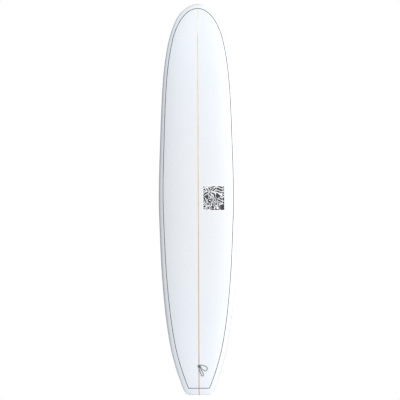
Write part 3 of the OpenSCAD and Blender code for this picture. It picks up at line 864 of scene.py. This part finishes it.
def decal():
    """A thin sheet of paper, a little larger than the print."""
    low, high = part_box("deck_decal")
    xs = np.linspace(low[0] / MM - PAPER, high[0] / MM + PAPER, 41)
    zs = np.linspace(low[2] / MM - PAPER, high[2] / MM + PAPER, 47)
    top = np.array([[[x, float(deck_y(x, z)) - PAPER_PROUD, z] for x in xs] for z in zs])
    under = top + [0, PAPER_THICK, 0]
    sheets = Sheets()
    sheets.grid(top)
    sheets.grid(under)
    ring = [top[0], top[:, -1], top[-1][::-1], top[::-1, 0]]
    ring = np.vstack([r[:-1] for r in ring])
    sheets.grid(np.array([ring, ring + [0, PAPER_THICK, 0]]), close=True)
    obj = new_object("deck_print", sheets.verts, sheets.faces, weld=1e-6, outward=True)
    obj.data.set_sharp_from_angle(angle=math.radians(40))
    finished(obj, "board", "decal_paper", print_on_paper(), "deck_decal")


stringer()
pinline()
decal()

# ---- Leash cup and its resin ----

CUP_SEGMENTS = 96


def draped(profile):
    """A lathe round the cup's axis: [radius, depth] below the deck at each place."""
    turn = np.arange(CUP_SEGMENTS) * 2 * math.pi / CUP_SEGMENTS
    rings = []
    for radius, depth in profile:
        x = radius * np.cos(turn)
        z = CUP_Z + radius * np.sin(turn)
        rings.append(np.column_stack([x, deck_y(x, z) + depth, z]))
    return np.array(rings)


def leash_cup():
    """A round cup with a rolled lip, closed at its foot."""
    sheets = Sheets()
    outside = [(14, 17), (14, 0.7), (13.8, 0.15), (13.4, -0.15), (12.9, -0.25),
               (12.2, -0.2), (11.6, 0.05), (11.15, 0.5), (11, 1.1)]
    inside = [(11, 12.4), (10.7, 13.3), (10, 13.8), (9, 14), (0.001, 14)]
    sheets.grid(draped(outside + inside), close=True)
    sheets.grid(draped([(14, 17), (0.001, 17)]), close=True)
    obj = new_object("leash_cup_moulding", sheets.verts, sheets.faces, weld=1e-5, outward=True)
    obj.data.set_sharp_from_angle(angle=math.radians(60))
    mat = tinted("cup_plastic", (0.74, 0.75, 0.76), (0.83, 0.84, 0.85), 200.0, (0.25, 0.4), 0.3)
    finished(obj, "board", "cup_plastic", mat, "leash_cup")


def cup_bed():
    """A ring of resin round the cup, level with the deck."""
    sheets = Sheets()
    ring = [(13.95, 18), (13.95, -0.02), (14.4, -0.16), (15, -0.17), (15.6, -0.08),
            (16, 0.05), (15.4, 1.4), (15.4, 18), (13.95, 18)]
    sheets.grid(draped(ring), close=True)
    obj = new_object("leash_cup_bed", sheets.verts, sheets.faces, weld=1e-6, outward=True)
    finished(obj, "board", "cup_bed", bed_resin("cup_bed"), "leash_cup_resin")


leash_cup()
cup_bed()

# ---- Fin and the resin round its box ----


def from_box(points):
    """Points given across, out and along in the fin box's frame, in the row frame."""
    p = np.asarray(points, float)
    c, s = math.cos(BOX_TILT), math.sin(BOX_TILT)
    y = float(bottom_middle(BOX_Z)) - BOX_SINK + p[..., 1] * c + p[..., 2] * s
    z = BOX_Z - p[..., 1] * s + p[..., 2] * c
    return np.stack([p[..., 0], y, z], axis=-1)


FIN_HEIGHT, FIN_SWEEP, FIN_BASE, FIN_CHORD, FIN_MIDDLE = 240.0, 130.0, 9.2, 152.0, -8.0
FIN_STEPS = 36
FOIL_PEAK = 0.4235


def fin_section(v, out):
    """The foil's outline at share v of the fin's height, from its leading edge round and back."""
    chord = FIN_CHORD * (1 - v ** 2.6) ** 0.62
    front = FIN_MIDDLE - FIN_SWEEP * v ** 1.6 + chord / 2
    thick = FIN_BASE * (1 - 0.65 * v) * min(1, 0.35 + chord / 60)
    k = np.arange(2 * FIN_STEPS)
    t = (1 - np.cos(math.pi * np.where(k <= FIN_STEPS, k, 2 * FIN_STEPS - k) / FIN_STEPS)) / 2
    side = np.where(k <= FIN_STEPS, -1, 1)
    wide = side * thick / 2 * t ** 0.45 * (1 - t) ** 0.9 / FOIL_PEAK
    return np.column_stack([wide, np.full(2 * FIN_STEPS, out), front - chord * t])


def soft_block(sheets, wide, low, high, rear, front, r=0.8):
    """A block whose edges along its height are rounded."""
    h = wide / 2
    corners = [(h - r, front - r, 0), (h - r, rear + r, -90),
               (-h + r, rear + r, -180), (-h + r, front - r, -270)]
    loop = []
    for x, z, start in corners:
        for a in np.radians(np.linspace(start + 90, start, 5)):
            loop.append((x + r * math.cos(a), z + r * math.sin(a)))
    loop = np.array(loop)
    middle = loop.mean(axis=0)
    rings = []
    ends = ((low, 0.0), (low, 0.94), (low + 0.5, 1.0), (high - 0.5, 1.0), (high, 0.94), (high, 0.0))
    for out, share in ends:
        flat = middle + (loop - middle) * share
        rings.append(np.column_stack([flat[:, 0], np.full(len(flat), out), flat[:, 1]]))
    sheets.grid(from_box(np.array(rings)), close=True)


def fin():
    """The foil, its base tab and the tab's toe."""
    sheets = Sheets()
    shares = 0.999 * np.sin(np.linspace(0, math.pi / 2, 60))
    rings = [fin_section(0, -1)] + [fin_section(v, 0.2 + v * FIN_HEIGHT) for v in shares]
    top = rings[-1]
    rings.append(np.tile(top.mean(axis=0) + [0, 0.25, 0], (len(top), 1)))
    sheets.grid(from_box(np.array(rings)), close=True)
    soft_block(sheets, FIN_BASE, -18.6, -0.5, -84.5, 70.5)
    soft_block(sheets, FIN_BASE, -7.3, -2.5, 69.5, 84.5)
    obj = new_object("fin_foil", sheets.verts, sheets.faces, weld=1e-6)
    obj.data.set_sharp_from_angle(angle=math.radians(45))
    finished(obj, "fin_unit", "fin_fibreglass", fin_cloth(), "fin")


BED_LIP = 1.4


def box_bed():
    """Resin between the box and the bottom, feathered on to the curved bottom."""
    hl, hw = BOX_HALF_LENGTH, BOX_HALF_WIDTH
    across_box, along_box = np.linspace(-hw, hw, 9), np.linspace(-hl, hl, 61)
    loop = np.array([(x, -hl) for x in across_box[:-1]] + [(hw, z) for z in along_box[:-1]]
                    + [(x, hl) for x in across_box[:0:-1]] + [(-hw, z) for z in along_box[:0:-1]])

    def grown(spread, out):
        wide, long = (loop * (1 + spread / np.array([hw, hl]))).T
        return from_box(np.column_stack([wide, np.full(len(loop), out), long]))

    rings = []
    for spread, lift in ((0.0, 0.02), (0.6, 0.16), (BED_LIP, 0.16), (2.2, 0.02), (2.6, -0.25)):
        flat = grown(spread, 0.0)
        near = max(0.0, 1 - spread / BED_LIP)
        flat[:, 1] = bottom_y(flat[:, 0], flat[:, 2]) * (1 - near) + flat[:, 1] * near + lift
        rings.append(flat)
    for spread, depth in ((BED_LIP, -1.0), (BED_LIP, -26), (0.0, -26)):
        rings.append(grown(spread, depth))
    rings.append(rings[0])
    sheets = Sheets()
    sheets.grid(np.array(rings), close=True)
    obj = new_object("fin_box_bed", sheets.verts, sheets.faces, weld=1e-6)
    obj.data.set_sharp_from_angle(angle=math.radians(50))
    finished(obj, "board", "box_bed", bed_resin("box_bed"), "fin_box_resin")


fin()
box_bed()

# ---- Parts of the frame that keep their shape ----

foam = tinted("foam", (0.80, 0.78, 0.72), (0.88, 0.87, 0.82), 400.0, (0.8, 0.95), 0.0, 0.5)
kept = {
    "fin_box": tinted("box_plastic", (0.66, 0.67, 0.67), (0.76, 0.77, 0.77), 500.0, (0.5, 0.7), 0.0, 0.3),
    "fin_roll_pin": brushed("pin_brass", (0.42, 0.30, 0.12), (0.74, 0.57, 0.28), (20, 1500, 1500)),
    "fin_plate": brushed("plate_steel", (0.38, 0.39, 0.40), (0.66, 0.67, 0.68), (60, 900, 1500)),
    "fin_screw": brushed("screw_steel", (0.42, 0.43, 0.44), (0.70, 0.71, 0.72), (900, 80, 900)),
    "leash_bar": brushed("bar_steel", (0.42, 0.43, 0.44), (0.70, 0.71, 0.72), (30, 1500, 1500)),
}
kept.update({name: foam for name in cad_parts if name.startswith("blank_")})
for name, mat in kept.items():
    dress(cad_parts[name], mat)
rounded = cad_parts["fin_box"].modifiers.new("edge", "BEVEL")
rounded.width = 0.3 * MM
rounded.segments = 2
rounded.limit_method = "ANGLE"

# ---- Floor and light ----

FLOOR_HALF, FLOOR_DROP = 9000, 2
square = ((-1, -1), (1, -1), (1, 1), (-1, 1))
floor = new_object("floor", [(x * FLOOR_HALF, y * FLOOR_HALF, -FLOOR_DROP) for x, y in square],
                   [(0, 1, 2, 3)])
dress(floor, tinted("floor_paint", (0.84, 0.84, 0.845), (0.87, 0.87, 0.875), 3.0, (0.7, 0.85), 0.0, 0.02))
# The world under the floor lights the board in its place, or its glow would wash out the shaded rail
floor.visible_diffuse = False

# The studio's light falls from one side: [how far a direction turns to BRIGHT_SIDE, light]
BRIGHT_SIDE = (0.57, -0.82, 0.06)
STUDIO = [(0.0, (0.03, 0.03, 0.035)), (0.2, (0.07, 0.075, 0.085)), (0.44, (0.66, 0.69, 0.73)),
          (0.62, (0.82, 0.85, 0.89)), (1.0, (1.0, 1.0, 1.0))]
STUDIO_STRENGTH = 1.02

world = bpy.data.worlds.new("studio")
bpy.context.scene.world = world
world.use_nodes = True
tree = world.node_tree
sky = tree.nodes["Background"]
coords = tree.nodes.new("ShaderNodeTexCoord")
toward = tree.nodes.new("ShaderNodeVectorMath")
toward.operation = "DOT_PRODUCT"
toward.inputs[1].default_value = BRIGHT_SIDE
tree.links.new(coords.outputs["Generated"], toward.inputs[0])
level = maths(tree, "ADD", maths(tree, "MULTIPLY", toward.outputs["Value"], 0.5), 0.5)
tree.links.new(ramp(tree, level, STUDIO), sky.inputs["Color"])
sky.inputs["Strength"].default_value = STUDIO_STRENGTH

# What is seen behind the board is plain white
white = tree.nodes.new("ShaderNodeBackground")
white.inputs["Color"].default_value = (1, 1, 1, 1)
seen = tree.nodes.new("ShaderNodeLightPath")
choose = tree.nodes.new("ShaderNodeMixShader")
tree.links.new(seen.outputs["Is Camera Ray"], choose.inputs["Fac"])
tree.links.new(sky.outputs[0], choose.inputs[1])
tree.links.new(white.outputs[0], choose.inputs[2])
tree.links.new(choose.outputs[0], tree.nodes["World Output"].inputs["Surface"])

# The world alone lights the floor, so no lamp's beam ends across it
off_floor = bpy.data.collections.new("off_floor")
off_floor.objects.link(floor)
off_floor.collection_objects[0].light_linking.link_state = "EXCLUDE"


def area_light(name, where, aim, size, watts, colour):
    lamp = bpy.data.lights.new(name, "AREA")
    lamp.size = size
    lamp.energy = watts
    lamp.color = colour
    obj = bpy.data.objects.new(name, lamp)
    bpy.context.scene.collection.objects.link(obj)
    obj.location = where
    obj.rotation_euler = (Vector(aim) - Vector(where)).to_track_quat("-Z", "Y").to_euler()
    obj.light_linking.receiver_collection = off_floor
    return obj


area_light("key", (4.5, -0.75, 1.7), (0, 0, 1.45), 2.6, 178, (1.0, 0.99, 0.98))
rear = area_light("rear", (2.6, 4.2, 2.4), (0, 0, 1.2), 2.4, 60, (0.96, 0.98, 1.0))
# Its square would show on the flat bottom as a hard edge
rear.visible_glossy = False
